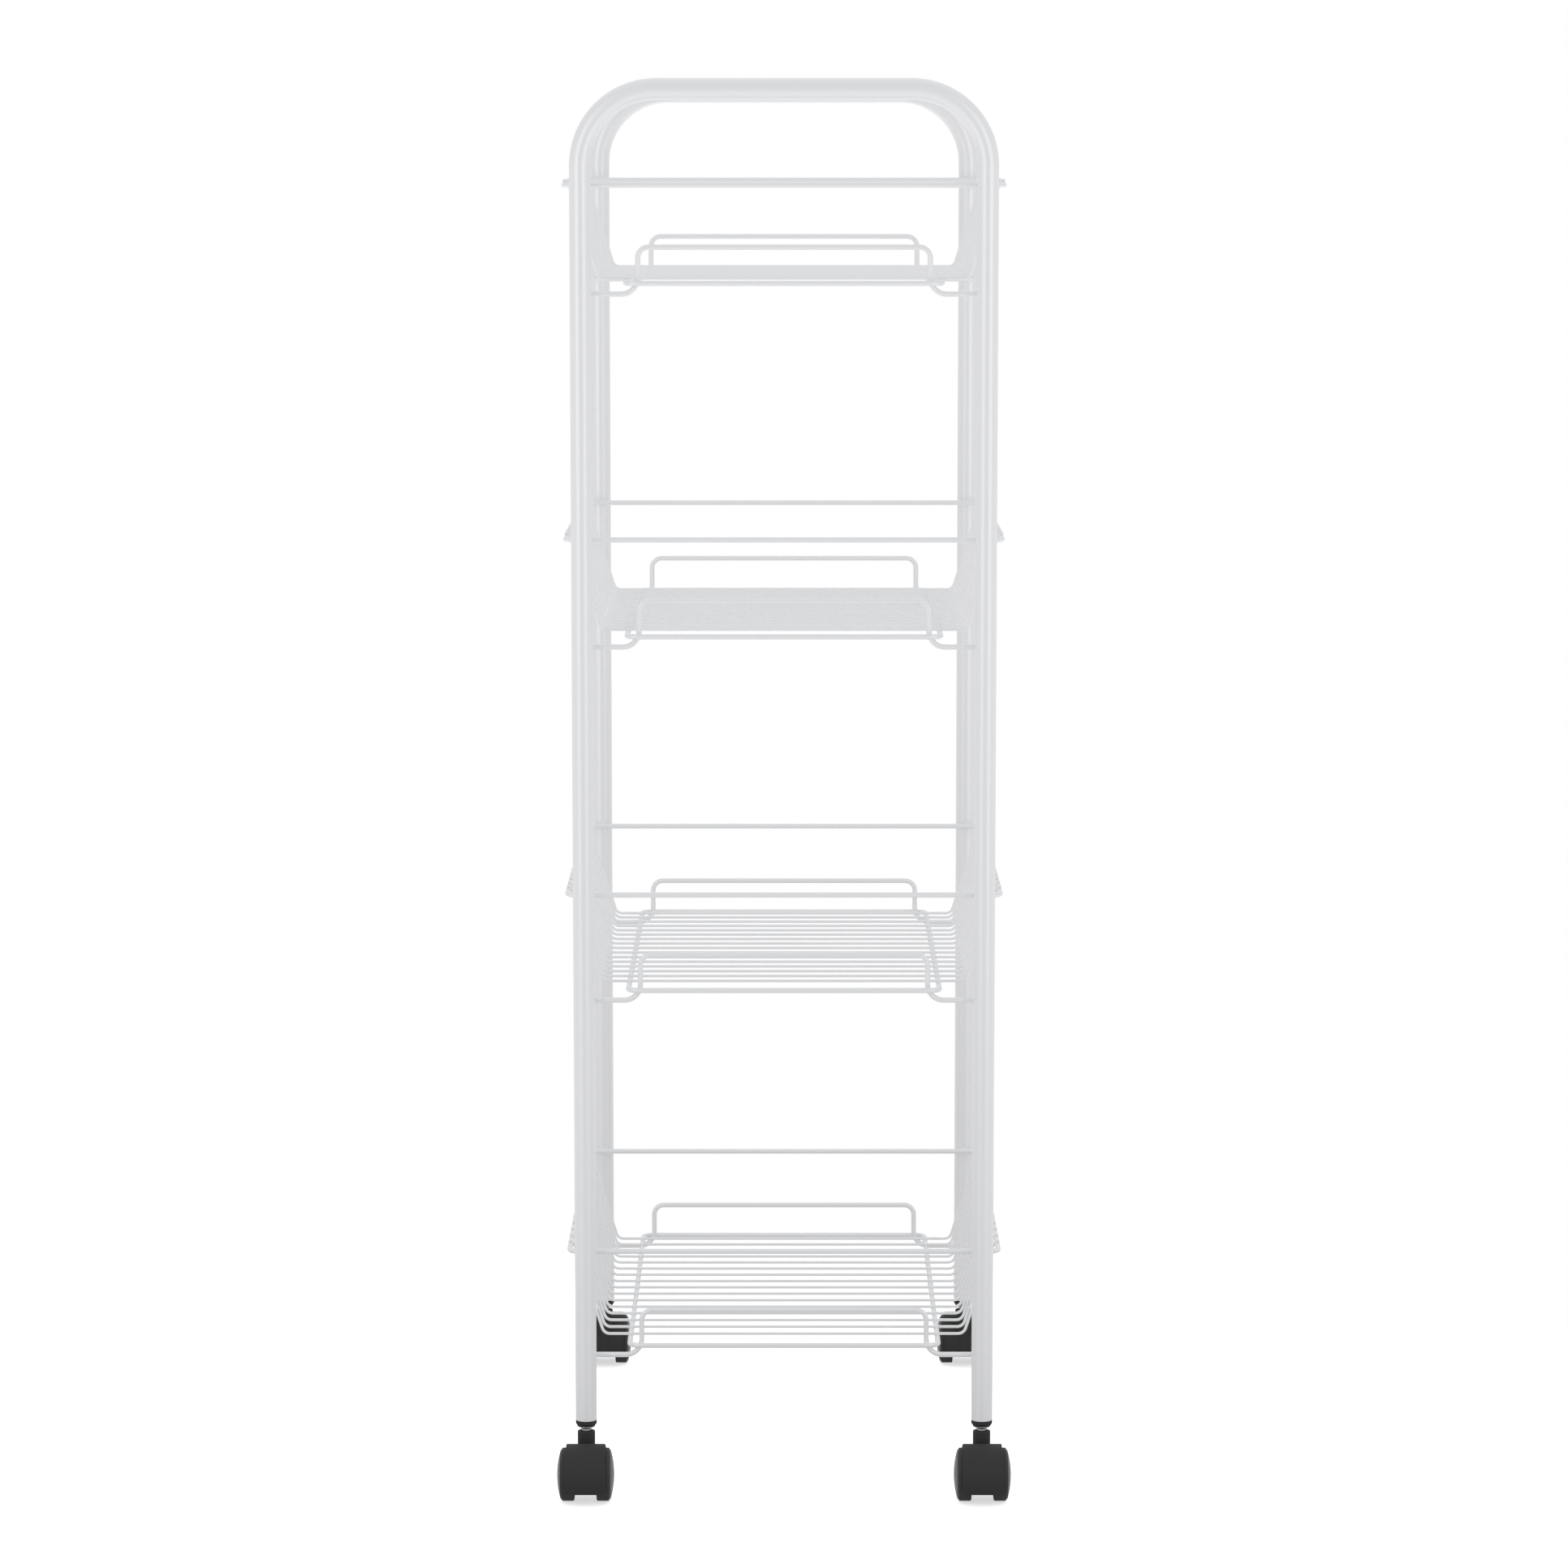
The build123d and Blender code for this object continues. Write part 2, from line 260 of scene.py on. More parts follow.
class TrolleySettings(PropertyGroup):
    arches: PointerProperty(type=ArchSizes, name="Arches", description="Sizes of the tube arches")
    trays: PointerProperty(type=TraySizes, name="Trays", description="Sizes of rings and end rails")
    wires: PointerProperty(type=WireSizes, name="Wires", description="Sizes of the floor wires")
    welds: PointerProperty(type=WeldSizes, name="Welds", description="Sizes of the weld nuggets")
    casters: PointerProperty(type=CasterSizes, name="Casters", description="Sizes of the casters")
    finishes: PointerProperty(type=Finishes, name="Finishes", description="Colours of the finishes")
    stage: PointerProperty(type=StageSettings, name="Stage", description="Floor, lights and camera")


# ---------------------------------------------------------------- lines and outlines

def bent_line(points, bends, steps):
    """(place, direction) pairs along a line through points, each inner corner bent to its radius."""
    points = [Vector(point) for point in points]
    stations = [(points[0], (points[1] - points[0]).normalized())]
    for before, corner, after, radius in zip(points, points[1:], points[2:], bends):
        come = (corner - before).normalized()
        go = (after - corner).normalized()
        turn = come.angle(go)
        inward = (go - come * come.dot(go)).normalized()
        start = corner - come * radius * math.tan(turn / 2)
        for i in range(steps + 1 if radius else 1):
            angle = turn * i / steps
            place = start + radius * (come * math.sin(angle) + inward * (1 - math.cos(angle)))
            stations.append((place, come * math.cos(angle) + inward * math.sin(angle)))
    stations.append((points[-1], (points[-1] - points[-2]).normalized()))
    return stations


def rounded_outline(corners, steps=5):
    """(along, radius) points of a turned outline from (along, radius, rounding in mm) corners."""
    points = [(along, radius, 0.0) for along, radius, _ in corners]
    roundings = [rounding * MM for _, _, rounding in corners[1:-1]]
    return [(place.x, place.y) for place, _ in bent_line(points, roundings, steps)]


def bell(distance, width):
    return math.exp(-((distance / width) ** 2))


# ---------------------------------------------------------------- building meshes

class Form:
    """The points and faces of one piece while it is being built."""

    def __init__(self):
        self.points = []
        self.faces = []

    def skin(self, loops, closed=False):
        """Faces between each loop of points and the next; a loop of one point is the tip of a fan."""
        starts = []
        for loop in loops:
            starts.append((len(self.points), len(loop)))
            self.points.extend(loop)
        pairs = list(zip(starts, starts[1:]))
        if closed:
            pairs.append((starts[-1], starts[0]))
        for (a, size_a), (b, size_b) in pairs:
            around = max(size_a, size_b)
            for i in range(around):
                j = (i + 1) % around
                corners = (a + i % size_a, a + j % size_a, b + j % size_b, b + i % size_b)
                self.faces.append(tuple(dict.fromkeys(corners)))

    def rod(self, line, radius, normal, sides, edge):
        """A solid rod along (place, direction) stations in the plane of that normal."""
        loops = [tube_loop(place, direction, radius, normal, sides) for place, direction in line[1:-1]]
        first = rounded_end(*line[0], -1, radius, normal, sides, edge)
        last = rounded_end(*line[-1], 1, radius, normal, sides, edge)
        self.skin(first + loops + last[::-1])

    def turn(self, outline, axis, sides, at=(0.0, 0.0, 0.0), closed=False):
        """A surface turned round X or Z, from (along, radius) points."""
        origin = Vector(at)
        loops = []
        for along, radius in outline:
            steps = sides if radius > 1e-7 else 1
            loop = []
            for i in range(steps):
                angle = 2 * math.pi * i / steps
                one, two = radius * math.cos(angle), radius * math.sin(angle)
                loop.append(origin + Vector((along, one, two) if axis == "X" else (one, two, along)))
            loops.append(loop)
        self.skin(loops[:-1] if closed else loops, closed)

    def prism(self, outline, low, high, edge, place=Matrix.Identity(4)):
        """A plate across X from a (y, z) outline, with rounded edges."""
        shape = bmesh.new()
        rings = [[shape.verts.new((x, y, z)) for y, z in outline] for x in (low, high)]
        for ring in rings:
            shape.faces.new(ring)
        for i in range(len(outline)):
            j = (i + 1) % len(outline)
            shape.faces.new((rings[0][i], rings[0][j], rings[1][j], rings[1][i]))
        bmesh.ops.recalc_face_normals(shape, faces=shape.faces)
        sharp = [line for line in shape.edges if line.calc_face_angle(0.0) > math.radians(30)]
        bmesh.ops.bevel(shape, geom=sharp, offset=edge, segments=3, profile=0.5, affect="EDGES")
        self.take(shape, place)

    def nugget(self, at, sizes, axes, lumps, dice, level):
        """A lump of weld metal with those half sizes along those axes, unevenly spread."""
        shape = bmesh.new()
        bmesh.ops.create_icosphere(shape, subdivisions=level, radius=1.0)
        shift = Vector((dice.uniform(-9, 9), dice.uniform(-9, 9), dice.uniform(-9, 9)))
        for point in shape.verts:
            swell = 1 + lumps * noise.noise(point.co * 1.6 + shift)
            reach = [value * size * swell for value, size in zip(point.co, sizes)]
            point.co = Vector(at) + sum((axis * span for axis, span in zip(axes, reach)), Vector())
        self.take(shape, Matrix.Identity(4))

    def take(self, shape, place):
        """Adds a finished bmesh and frees it."""
        start = len(self.points)
        shape.verts.index_update()
        self.points.extend(place @ point.co for point in shape.verts)
        self.faces.extend(tuple(start + point.index for point in face.verts) for face in shape.faces)
        shape.free()

    def piece(self, name, body, slot, stands_for=(), at=(0.0, 0.0, 0.0), sharp=40):
        """The finished object: it rides on a body, stands for CAD nodes and has a slot's material."""
        mesh = bpy.data.meshes.new(name)
        mesh.from_pydata([tuple(point) for point in self.points], [], self.faces)
        shape = bmesh.new()
        shape.from_mesh(mesh)
        bmesh.ops.remove_doubles(shape, verts=shape.verts, dist=1e-6)
        bmesh.ops.dissolve_degenerate(shape, edges=shape.edges, dist=1e-7)
        bmesh.ops.recalc_face_normals(shape, faces=shape.faces)
        shape.to_mesh(mesh)
        shape.free()
        mesh.shade_smooth()
        mesh.set_sharp_from_angle(angle=math.radians(sharp))
        thing = bpy.data.objects.new(name, mesh)
        thing.location = at
        bpy.context.scene.collection.objects.link(thing)
        mesh.materials.append(finish(slot))
        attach(thing, body)
        if stands_for:
            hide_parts(*stands_for)
        return thing


def tube_loop(place, direction, radius, normal, sides):
    """Points round a line at one place; the line lies in the plane of that normal."""
    across = direction.cross(normal)
    loop = []
    for i in range(sides):
        angle = 2 * math.pi * i / sides
        loop.append(place + radius * (normal * math.cos(angle) + across * math.sin(angle)))
    return loop


def rounded_end(place, direction, outward, radius, normal, sides, edge):
    """Loops of a rod's end, from its middle point out to its full radius."""
    loops = [[place]]
    for degrees in (90, 60, 30, 0):
        angle = math.radians(degrees)
        spot = place - direction * outward * edge * (1 - math.sin(angle))
        loops.append(tube_loop(spot, direction, radius - edge * (1 - math.cos(angle)), normal, sides))
    return loops


# ---------------------------------------------------------------- shader maths

class Signal:
    """A socket that varies over a surface; Python's operators on it add Math nodes."""

    def __init__(self, recipe, socket):
        self.recipe = recipe
        self.socket = socket

    def maths(self, operation, first, second=0.0):
        return self.recipe.node("ShaderNodeMath", {"operation": operation}, {0: first, 1: second})

    def __add__(self, other):
        return self.maths("ADD", self, other)

    __radd__ = __add__

    def __mul__(self, other):
        return self.maths("MULTIPLY", self, other)

    __rmul__ = __mul__

    def __sub__(self, other):
        return self.maths("SUBTRACT", self, other)

    def __rsub__(self, other):
        return self.maths("SUBTRACT", other, self)

    def sine(self):
        return self.maths("SINE", self)

    def root(self):
        return self.maths("SQRT", self)


class Recipe:
    """The node tree of one material or of the world."""

    def __init__(self, owner, **constants):
        owner.use_nodes = True
        self.owner = owner
        self.tree = owner.node_tree
        self.surface = next(node for node in self.tree.nodes if not node.type.startswith("OUTPUT"))
        for socket, value in constants.items():
            self.surface.inputs[socket.replace("_", " ")].default_value = value

    def node(self, kind, settings, inputs, output=0):
        """A node of that type: its settings first, then the values or links of its sockets."""
        made = self.tree.nodes.new(kind)
        for name, value in settings.items():
            if name == "stops":
                low, high = made.color_ramp.elements
                for stop, (position, grey) in zip((low, high), value):
                    stop.position = position
                    stop.color = (grey, grey, grey, 1.0)
            else:
                setattr(made, name, value)
        for name, value in inputs.items():
            if isinstance(value, Signal):
                self.tree.links.new(value.socket, made.inputs[name])
            else:
                made.inputs[name].default_value = value
        return Signal(self, made.outputs[output])

    def feed(self, socket, signal):
        self.tree.links.new(signal.socket, self.surface.inputs[socket])

    def show(self, factor, two):
        """Mixes the surface with another shader and shows the result."""
        one = Signal(self, self.surface.outputs[0])
        mixed = self.node("ShaderNodeMixShader", {}, {0: factor, 1: one, 2: two})
        output = next(node for node in self.tree.nodes if node.type.startswith("OUTPUT"))
        self.tree.links.new(mixed.socket, output.inputs["Surface"])

    def place(self):
        return self.node("ShaderNodeTexCoord", {}, {}, "Object")

    def parts(self, vector):
        return [self.node("ShaderNodeSeparateXYZ", {}, {0: vector}, axis) for axis in "XYZ"]

    def cloud(self, vector, scale, detail=2.0, roughness=0.5):
        inputs = {"Vector": vector, "Scale": scale, "Detail": detail, "Roughness": roughness}
        return self.node("ShaderNodeTexNoise", {}, inputs)

    def grains(self, vector, scale):
        return self.node("ShaderNodeTexVoronoi", {}, {"Vector": vector, "Scale": scale})

    def ramp(self, signal, low, high):
        """0 below low, 1 above high."""
        stops = ((low, 0.0), (high, 1.0))
        return self.node("ShaderNodeValToRGB", {"stops": stops}, {0: signal})

    def rise(self, signal, start, end):
        """Rises evenly from 0 at start to 1 at end, and stays there."""
        return self.node("ShaderNodeMapRange", {}, {0: signal, 1: start, 2: end})

    def blend(self, factor, one, two):
        inputs = {0: factor}
        for socket, value in ((6, one), (7, two)):
            inputs[socket] = value if isinstance(value, Signal) else (*value, 1.0)
        return self.node("ShaderNodeMix", {"data_type": "RGBA"}, inputs, 2)

    def bump(self, height, depth, amount=1.0):
        inputs = {"Height": height, "Distance": depth, "Strength": amount}
        self.feed("Normal", self.node("ShaderNodeBump", {}, inputs))


def material(name, **constants):
    return Recipe(bpy.data.materials.new(name), **constants)


# ---------------------------------------------------------------- finishes

def powder_coat(finishes):
    """Gloss white powder coat: orange peel, thin and thick places, a few specks."""
    recipe = material("powder_coat", Specular_IOR_Level=0.25, Coat_Roughness=0.06, Coat_Weight=1.0)
    place = recipe.place()
    thickness = recipe.cloud(place, 55.0, 3.0)
    peel = recipe.cloud(place, 950.0, 1.5)
    specks = recipe.ramp(recipe.grains(place, 210.0), 0.05, 0.09)
    coat = recipe.blend(recipe.ramp(thickness, 0.38, 0.62), finishes.coat_shade, finishes.coat)
    speck = tuple(value * 0.82 for value in finishes.coat_shade)
    recipe.feed("Base Color", recipe.blend(specks, speck, coat))
    recipe.feed("Roughness", finishes.coat_roughness + 0.10 * (peel - 0.5) + 0.08 * (thickness - 0.5))
    recipe.bump(peel + 0.6 * recipe.cloud(place, 340.0, 1.0), 0.012 * MM, 0.8)
    return recipe.owner


def plug_plastic(finishes):
    """Satin black moulding with a fine grain and faint flow marks."""
    recipe = material("plug_plastic", Specular_IOR_Level=0.45)
    place = recipe.place()
    grain = recipe.cloud(place, 2200.0, 2.0)
    flow = recipe.cloud(place, 160.0, 3.0)
    pale = tuple(value * 1.9 for value in finishes.plastic)
    recipe.feed("Base Color", recipe.blend(flow, finishes.plastic, pale))
    recipe.feed("Roughness", 0.34 + 0.12 * flow)
    recipe.bump(grain, 0.03 * MM)
    return recipe.owner


def plated_steel(finishes):
    """Bright plating over fine turning lines."""
    recipe = material("plated_steel", Metallic=1.0)
    place = recipe.place()
    _, _, along = recipe.parts(place)
    wobble = recipe.cloud(place, 420.0, 2.0)
    lines = (along * 26000.0 + 5.0 * wobble).sine()
    haze = recipe.cloud(place, 190.0, 3.0)
    dull = tuple(value * 0.86 for value in finishes.plating)
    recipe.feed("Base Color", recipe.blend(haze, finishes.plating, dull))
    recipe.feed("Roughness", 0.10 + 0.10 * haze + 0.02 * lines)
    recipe.bump(lines, 0.004 * MM, 0.6)
    return recipe.owner


def axle_steel(finishes):
    """Drawn steel, with fine lines along its length."""
    recipe = material("axle_steel", Metallic=1.0)
    place = recipe.place()
    drawn = {0: place, 1: (60.0, 3000.0, 3000.0)}
    lines = recipe.cloud(recipe.node("ShaderNodeVectorMath", {"operation": "MULTIPLY"}, drawn), 1.0, 2.0)
    dull = tuple(value * 0.8 for value in finishes.steel)
    recipe.feed("Base Color", recipe.blend(lines, finishes.steel, dull))
    recipe.feed("Roughness", 0.24 + 0.16 * lines)
    recipe.bump(lines, 0.01 * MM)
    return recipe.owner


def hood_plastic(finishes):
    """Matte black moulding with a spark-eroded grain, a grey bloom and a few rubbed places."""
    recipe = material("hood_plastic", Specular_IOR_Level=0.4)
    place = recipe.place()
    grain = recipe.cloud(place, 1900.0, 3.0, 0.6)
    pits = recipe.grains(place, 1500.0)
    bloom = recipe.cloud(place, 85.0, 4.0)
    rubbed = recipe.ramp(recipe.cloud(place, 38.0, 5.0, 0.65), 0.58, 0.72)
    tone = recipe.ramp(0.55 * bloom + 0.45 * grain, 0.40, 0.72)
    recipe.feed("Base Color", recipe.blend(tone, finishes.hood, finishes.hood_dust))
    recipe.feed("Roughness", 0.60 + 0.14 * grain - 0.16 * rubbed)
    recipe.bump(grain + 0.4 * pits, 0.06 * MM)
    return recipe.owner


def radius_from_axle(recipe, place):
    """Distance from the X axis that a wheel or disc turns round."""
    _, y, z = recipe.parts(place)
    return (y * y + z * z).root()


def wheel_plastic(finishes):
    """Satin dark grey moulding, faintly scored where it rolls, with pale patches on the tread that are
    partly dust and partly painted light from the bright floor.
    """
    recipe = material("wheel_plastic", Specular_IOR_Level=0.45)
    place = recipe.place()
    radius = radius_from_axle(recipe, place)
    across, _, _ = recipe.parts(place)
    grain = recipe.cloud(place, 1700.0, 2.0)
    patches = recipe.cloud(place, 120.0, 4.0, 0.6)
    rolling = recipe.rise(radius, 19.2 * MM, 19.9 * MM)
    # Mask of the pale tread patches: partly dust, partly painted light from the floor.
    dust_and_floor_light = rolling * recipe.ramp(patches, 0.30, 0.62) * 0.8
    scores = (across * 9000.0 + 3.0 * patches).sine()
    recipe.feed("Base Color", recipe.blend(dust_and_floor_light, finishes.wheel, finishes.wheel_dust_and_floor_light))
    recipe.feed("Roughness", 0.36 + 0.10 * grain + 0.22 * dust_and_floor_light)
    recipe.bump(grain + 0.25 * rolling * scores, 0.03 * MM)
    return recipe.owner


def disc_plastic(finishes):
    """Gloss dark grey moulding with pale flecks in it and faint turning swirls."""
    recipe = material("disc_plastic", Specular_IOR_Level=0.5, Coat_Weight=0.25, Coat_Roughness=0.06)
    place = recipe.place()
    radius = radius_from_axle(recipe, place)
    flecks = 1.0 - recipe.ramp(recipe.grains(place, 620.0), 0.12, 0.20)
    spread = recipe.ramp(recipe.cloud(place, 240.0, 2.0), 0.47, 0.60)
    swirl = (radius * 5200.0).sine()
    haze = recipe.cloud(place, 130.0, 3.0)
    recipe.feed("Base Color", recipe.blend(flecks * spread * 0.7, finishes.disc, finishes.disc_fleck))
    recipe.feed("Roughness", 0.17 + 0.10 * haze)
    recipe.bump(swirl + recipe.cloud(place, 900.0, 1.0), 0.008 * MM)
    return recipe.owner


RECIPES = (powder_coat, plug_plastic, plated_steel, axle_steel, hood_plastic, wheel_plastic, disc_plastic)


def finish(slot):
    """The material of one of the record's slots, made the first time that it is asked for."""
    if slot not in bpy.data.materials:
        make = next(recipe for recipe in RECIPES if recipe.__name__ == slot)
        make(bpy.context.scene.trolley.finishes)
    return bpy.data.materials[slot]


# ---------------------------------------------------------------- arches

def arch_stations(line, sizes):
    """(place, direction, swell, lip) along an arch's line: lips at the ends, marks at the bends."""
    lip = sizes.lip
    spots = [sizes.bend_mark_reach * i / 8 for i in range(1, 9)]
    middle_line, marks = [], []
    for bend in (line[1:sizes.steps + 2], line[sizes.steps + 2:-1]):
        (start, come), (stop, go) = bend[0], bend[-1]
        marks += [start, stop]
        middle_line += [(start - come * spot, come) for spot in reversed(spots)]
        middle_line += bend
        middle_line += [(stop + go * spot, go) for spot in spots]
    (foot, rise), (end, fall) = line[0], line[-1]
    stations = [(foot, rise, 0.0, lip), (foot + rise * lip, rise, 0.0, 0.0)]
    for place, direction in middle_line:
        nearest = min((place - mark).length for mark in marks)
        stations.append((place, direction, sizes.bend_mark * bell(nearest, sizes.bend_mark_width), 0.0))
    return stations + [(end - fall * lip, fall, 0.0, 0.0), (end, fall, 0.0, lip)]


def build_arch(end, sizes):
    """One tube arch: two posts and the grip between them, open at both lower ends."""
    node = f"{end}_arch"
    low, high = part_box(node)
    radius = sizes.tube_radius
    x, y, top = high.x - radius, middle(node).y, high.z - radius
    points = [(-x, y, low.z), (-x, y, top), (x, y, top), (x, y, low.z)]
    line = bent_line(points, (sizes.bend_radius, sizes.bend_radius), sizes.steps)
    outer, inner = [], []
    for place, direction, swell, lip in arch_stations(line, sizes):
        outer.append(tube_loop(place, direction, radius + swell - lip, Y, sizes.sides))
        inner.append(tube_loop(place, direction, radius - sizes.wall + lip, Y, sizes.sides))
    form = Form()
    form.skin(outer + inner[::-1], closed=True)
    form.piece(node, "frame", "powder_coat", [node])


class TROLLEY_OT_arches(Operator):
    """Builds the two tube arches with their bends, bend marks and open ends"""

    bl_idname = "trolley.arches"
    bl_label = "Arches"

    def execute(self, context):
        for end in ENDS:
            build_arch(end, context.scene.trolley.arches)
        return {"FINISHED"}


# ---------------------------------------------------------------- trays

def build_ring(node, sizes):
    """A closed ring of rod with four bent corners and the swelling of its butt weld."""
    low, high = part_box(node)
    radius = sizes.rod_radius
    x, y, z = high.x - radius, high.y - radius, middle(node).z
    weld_y = sizes.butt_weld_offset
    points = [(x, weld_y, z), (x, y, z), (-x, y, z), (-x, -y, z), (x, -y, z), (x, weld_y, z)]
    line = bent_line(points, [sizes.ring_corner] * 4, sizes.steps)[:-1]
    weld = Vector((x, weld_y, z))
    start = [(weld + Y * sizes.butt_weld_reach * i / 7, Y) for i in range(-7, 8)]
    loops = []
    for place, direction in start + line[1:]:
        swell = sizes.butt_weld * bell((place - weld).length, sizes.butt_weld_width)
        loops.append(tube_loop(place, direction, radius + swell, Z, sizes.sides))
    form = Form()
    form.skin(loops, closed=True)
    form.piece(node, "frame", "powder_coat", [node])


def build_rail(node, sizes):
    """The guard at one end of a tray, its feet running out to the posts."""
    low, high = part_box(node)
    radius = sizes.rod_radius
    y, foot, top = middle(node).y, low.z + radius, high.z - radius
    half = [(high.x, y, foot), (sizes.leg_x, y, foot), (sizes.leg_x, y, top)]
    points = half + [(-px, py, pz) for px, py, pz in reversed(half)]
    bends = [sizes.foot_bend, sizes.rail_corner, sizes.rail_corner, sizes.foot_bend]
    form = Form()
    form.rod(bent_line(points, bends, sizes.steps), radius, Y, sizes.sides, sizes.cut_edge)
    form.piece(node, "frame", "powder_coat", [node])


class TROLLEY_OT_rings_and_rails(Operator):
    """Builds each tray's rim ring, base ring and two end rails"""

    bl_idname = "trolley.rings_and_rails"
    bl_label = "Rings and rails"

    def execute(self, context):
        sizes = context.scene.trolley.trays
        for tray in TRAYS:
            build_ring(f"{tray}_rim_ring", sizes)
            build_ring(f"{tray}_base_ring", sizes)
            for end in ENDS:
                build_rail(f"{tray}_{end}_rail", sizes)
        return {"FINISHED"}


def wire_places(tray, wires):
    """The Y of each floor wire of a tray, with its small offset."""
    low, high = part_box(f"{tray}_floor_wires")
    first, last = low.y + wires.radius, high.y - wires.radius
    dice = random.Random(wires.seed + TRAYS.index(tray))
    step = (last - first) / (wires.wires - 1)
    return [first + i * step + dice.uniform(-wires.wander, wires.wander) for i in range(wires.wires)]


def build_floor_wires(tray, wires, trays):
    """A tray's thin wires: floor, sloping walls and the hooks over the rim's side bars."""
    node = f"{tray}_floor_wires"
    low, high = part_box(node)
    rim_x = half_size(f"{tray}_rim_ring").x - trays.rod_radius
    rim_z = middle(f"{tray}_rim_ring").z
    floor_z, hook_z = low.z + wires.radius, high.z - wires.radius
    hook_radius = trays.rod_radius + wires.radius - wires.weld_sink
    run, rise = rim_x - wires.floor_x, rim_z - floor_z
    lean = math.atan2(run, rise) - math.asin(hook_radius / math.hypot(run, rise))
    shoulder_x = wires.floor_x + (hook_z - floor_z) * math.tan(lean)
    form = Form()
    for y in wire_places(tray, wires):
        half = [(high.x, y, hook_z), (shoulder_x, y, hook_z), (wires.floor_x, y, floor_z)]
        points = half + [(-px, py, pz) for px, py, pz in reversed(half)]
        bends = [hook_radius, wires.floor_bend, wires.floor_bend, hook_radius]
        form.rod(bent_line(points, bends, wires.steps), wires.radius, Y, wires.sides, trays.cut_edge)
    form.piece(node, "frame", "powder_coat", [node])


class TROLLEY_OT_floor_wires(Operator):
    """Builds each tray's floor wires with their sloping walls and hooked ends"""

    bl_idname = "trolley.floor_wires"
    bl_label = "Floor wires"

    def execute(self, context):
        settings = context.scene.trolley
        for tray in TRAYS:
            build_floor_wires(tray, settings.wires, settings.trays)
        return {"FINISHED"}


def build_welds(tray, settings):
    """A tray's weld nuggets: wires to rings, rails to the base ring, rods to the posts."""
    welds, trays, rod = settings.welds, settings.trays, settings.trays.rod_radius
    base, rim = half_size(f"{tray}_base_ring"), half_size(f"{tray}_rim_ring")
    base_z, rim_z = middle(f"{tray}_base_ring").z, middle(f"{tray}_rim_ring").z
    foot_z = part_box(f"{tray}_front_rail")[0].z + rod
    post_x = half_size("front_arch").x - settings.arches.tube_radius
    dice = random.Random(welds.seed + TRAYS.index(tray))
    wire_weld = (welds.wire_spread, welds.wire_spread, welds.wire_rise)
    rod_weld = (welds.rod_spread, welds.rod_rise, welds.rod_spread)
    post_weld = (welds.post_spread, welds.post_rise, welds.post_height)
    form = Form()
    for y in wire_places(tray, settings.wires):
        for side in (-1, 1):
            spot = (side * (base.x - rod), y, base_z + rod)
            form.nugget(spot, wire_weld, (X, Y, Z), welds.lumps, dice, 2)
            inward, tangent = (Z - side * X).normalized(), (Z + side * X).normalized()
            spot = Vector((side * (rim.x - rod), y, rim_z)) + inward * rod
            form.nugget(spot, wire_weld, (tangent, Y, inward), welds.lumps, dice, 2)
    for end, outward in zip(ENDS, (-1, 1)):
        rail_y = middle(f"{tray}_{end}_rail").y
        for side in (-1, 1):
            spot = (side * trays.leg_x, (rail_y + outward * (base.y - rod)) / 2, base_z)
            form.nugget(spot, rod_weld, (X, Y, Z), welds.lumps, dice, 3)
            for z in (foot_z, rim_z):
                spot = (side * post_x, rail_y + outward * rod, z)
                form.nugget(spot, post_weld, (X, Y, Z), welds.lumps, dice, 3)
    form.piece(f"{tray}_welds", "frame", "powder_coat", sharp=80)


class TROLLEY_OT_welds(Operator):
    """Builds the coated weld nuggets of each tray"""

    bl_idname = "trolley.welds"
    bl_label = "Welds"

    def execute(self, context):
        for tray in TRAYS:
            build_welds(tray, context.scene.trolley)
        return {"FINISHED"}


# ---------------------------------------------------------------- casters

def build_plug(corner, sizes, arches):
    """The black insert: tapered collar under the tube, barbed body inside it."""
    node = f"{corner}_plug"
    low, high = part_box(node)
    centre = middle(node)
    tube_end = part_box(f"{corner.split('_')[0]}_arch")[0].z
    inside = arches.tube_radius - arches.wall
    outline = [
        (high.z, sizes.shank_radius, 0.0),
        (low.z, sizes.shank_radius, 0.0),
        (low.z, sizes.collar_nose, 0.25),
        (low.z + sizes.collar_taper, arches.tube_radius, 0.8),
        (tube_end, arches.tube_radius, 0.15),
        (tube_end, inside, 0.0),
    ]
    pitch = (high.z - tube_end) / sizes.barbs
    for i in range(sizes.barbs):
        barb, next_barb = tube_end + i * pitch + sizes.barb_width, tube_end + (i + 1) * pitch
        outline += [(barb, inside, 0.2), (barb, sizes.core_radius, 0.1)]
        outline += [(next_barb, sizes.core_radius, 0.0), (next_barb, inside, 0.3)]
    outline[-1] = (high.z, sizes.shank_radius, 0.0)
    form = Form()
    form.turn(rounded_outline(outline), "Z", sizes.sides, closed=True)
    form.piece(node, "frame", "plug_plastic", [node], (centre.x, centre.y, 0.0))


def build_stem(corner, sizes):
    """The plated stem: swivel pin with its snap groove, coned flange and shank."""
    node = f"{corner}_stem"
    low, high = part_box(node)
    centre = middle(node)
    pin, flange = sizes.stem_radius, sizes.flange_radius
    neck = sizes.collar_z - sizes.flange_edge - sizes.flange_cone
    groove, bottom = low.z + sizes.stem_groove_rise, pin - sizes.stem_groove_depth
    groove_top = groove + sizes.stem_groove_width
    outline = [
        (low.z, 0.0, 0.0),
        (low.z, pin, 0.6),
        (groove, pin, 0.1),
        (groove, bottom, 0.2),
        (groove_top, bottom, 0.2),
        (groove_top, pin, 0.1),
        (neck, pin, 0.5),
        (sizes.collar_z - sizes.flange_edge, flange, 0.25),
        (sizes.collar_z, flange, 0.12),
        (sizes.collar_z, sizes.shank_radius, 0.2),
        (high.z, sizes.shank_radius, 0.8),
        (high.z, 0.0, 0.0),
    ]
    form = Form()
    form.turn(rounded_outline(outline), "Z", sizes.sides)
    form.piece(node, "frame", "plated_steel", [node], (centre.x, centre.y, 0.0))


